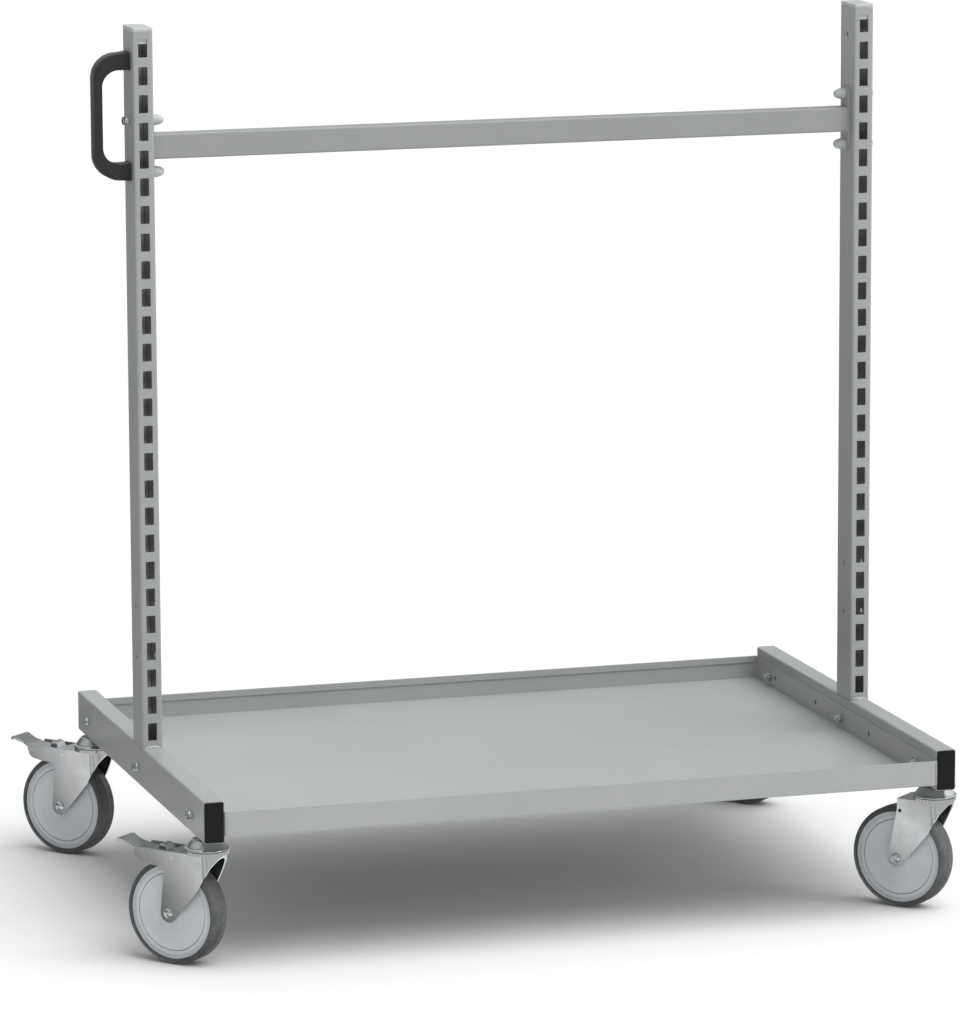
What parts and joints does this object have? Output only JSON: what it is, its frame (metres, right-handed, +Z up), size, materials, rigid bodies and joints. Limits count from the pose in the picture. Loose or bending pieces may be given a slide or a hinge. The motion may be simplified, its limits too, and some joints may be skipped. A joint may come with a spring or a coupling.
{
  "type": "tray trolley",
  "caption": "Wheeled tray trolley with slotted rectangular uprights on side rails, a bolted crossbar, a bow handle, a shallow sheet tray and swivel casters, some with brake pedals.",
  "frame": {"origin": "on the floor, below the centre of the frame, midway between the uprights and between the rails' ends", "axes": "+X along the crossbar away from the handle, +Y from the slotted side of the uprights to the rear, +Z up the uprights"},
  "size_m": [1.0217, 0.716, 1.074],
  "materials": {
    "powder_coat": "fine orange-peel powder coat, semi-matt",
    "powder_coat_tray": "fine orange-peel powder coat, semi-matt",
    "grey_cap": "moulded, satin",
    "black_plug": "moulded, satin",
    "handle_black": "fine grained, satin",
    "zinc_fastener": "bright zinc plate",
    "zinc_sheet": "bright zinc plate on pressed sheet",
    "bearing_steel": "ground and polished",
    "brass_insert": "machined",
    "wheel_grey": "moulded, satin",
    "tyre_rubber": "matt, lightly scuffed",
    "brake_shoe": "pressed, dull"
  },
  "bodies": {
    "frame": {"left_rail": "powder_coat", "right_rail": "powder_coat", "left_upright": "powder_coat", "right_upright": "powder_coat", "weld_beads": "powder_coat", "upright_caps": "grey_cap", "rail_end_plugs": "black_plug", "crossbar": "powder_coat", "crossbar_end_plates": "powder_coat", "crossbar_bolts": "zinc_fastener", "crossbar_nuts": "zinc_fastener", "dome_caps": "grey_cap", "handle": "handle_black", "handle_inserts": "brass_insert", "handle_screws": "zinc_fastener", "tray_floor": "powder_coat_tray", "tray_end_walls": "powder_coat_tray", "tray_side_walls": "powder_coat_tray", "tray_bolts": "zinc_fastener", "spring_washers": "zinc_fastener", "tray_washers": "zinc_fastener", "tray_nuts": "zinc_fastener", "swivel_races": "zinc_sheet", "swivel_balls": "bearing_steel", "caster_stems": "zinc_fastener", "stem_nuts": "zinc_fastener"},
    "fork_body_fl": {"fork_fl": "zinc_sheet", "axle_fl": "zinc_fastener", "axle_nut_fl": "zinc_fastener", "thread_guards_fl": "wheel_grey", "pedal_pin_fl": "zinc_fastener"},
    "wheel_fl": {"rim_fl": "wheel_grey", "tyre_fl": "tyre_rubber", "bearings_fl": "bearing_steel"},
    "fork_body_rl": {"fork_rl": "zinc_sheet", "axle_rl": "zinc_fastener", "axle_nut_rl": "zinc_fastener", "thread_guards_rl": "wheel_grey", "pedal_pin_rl": "zinc_fastener"},
    "wheel_rl": {"rim_rl": "wheel_grey", "tyre_rl": "tyre_rubber", "bearings_rl": "bearing_steel"},
    "fork_body_fr": {"fork_fr": "zinc_sheet", "axle_fr": "zinc_fastener", "axle_nut_fr": "zinc_fastener", "thread_guards_fr": "wheel_grey"},
    "wheel_fr": {"rim_fr": "wheel_grey", "tyre_fr": "tyre_rubber", "bearings_fr": "bearing_steel"},
    "fork_body_rr": {"fork_rr": "zinc_sheet", "axle_rr": "zinc_fastener", "axle_nut_rr": "zinc_fastener", "thread_guards_rr": "wheel_grey"},
    "wheel_rr": {"rim_rr": "wheel_grey", "tyre_rr": "tyre_rubber", "bearings_rr": "bearing_steel"},
    "pedal_body_fl": {"pedal_fl": "zinc_sheet", "brake_shoe_fl": "brake_shoe"},
    "pedal_body_rl": {"pedal_rl": "zinc_sheet", "brake_shoe_rl": "brake_shoe"}
  },
  "joints": [
    {"name": "swivel_fl", "type": "hinge", "parent": "frame", "child": "fork_body_fl", "pos_m": [-0.4525, -0.289, 0.1405], "axis": [0, 0, 1], "continuous": true},
    {"name": "wheel_spin_fl", "type": "hinge", "parent": "fork_body_fl", "child": "wheel_fl", "pos_m": [-0.4806, -0.25779, 0.0625], "axis": [-0.7431, -0.6691, 0], "continuous": true},
    {"name": "pedal_press_fl", "type": "hinge", "parent": "fork_body_fl", "child": "pedal_body_fl", "pos_m": [-0.47726, -0.2615, 0.129], "axis": [-0.7431, -0.6691, 0], "range_deg": [0, 8]},
    {"name": "swivel_rl", "type": "hinge", "parent": "frame", "child": "fork_body_rl", "pos_m": [-0.4525, 0.289, 0.1405], "axis": [0, 0, 1], "continuous": true},
    {"name": "wheel_spin_rl", "type": "hinge", "parent": "fork_body_rl", "child": "wheel_rl", "pos_m": [-0.4806, 0.32021, 0.0625], "axis": [-0.7431, -0.6691, 0], "continuous": true},
    {"name": "pedal_press_rl", "type": "hinge", "parent": "fork_body_rl", "child": "pedal_body_rl", "pos_m": [-0.47726, 0.3165, 0.129], "axis": [-0.7431, -0.6691, 0], "range_deg": [0, 8]},
    {"name": "swivel_fr", "type": "hinge", "parent": "frame", "child": "fork_body_fr", "pos_m": [0.4525, -0.289, 0.1405], "axis": [0, 0, 1], "continuous": true},
    {"name": "wheel_spin_fr", "type": "hinge", "parent": "fork_body_fr", "child": "wheel_fr", "pos_m": [0.4244, -0.25779, 0.0625], "axis": [-0.7431, -0.6691, 0], "continuous": true},
    {"name": "swivel_rr", "type": "hinge", "parent": "frame", "child": "fork_body_rr", "pos_m": [0.4525, 0.289, 0.1405], "axis": [0, 0, 1], "continuous": true},
    {"name": "wheel_spin_rr", "type": "hinge", "parent": "fork_body_rr", "child": "wheel_rr", "pos_m": [0.4244, 0.32021, 0.0625], "axis": [-0.7431, -0.6691, 0], "continuous": true}
  ]
}
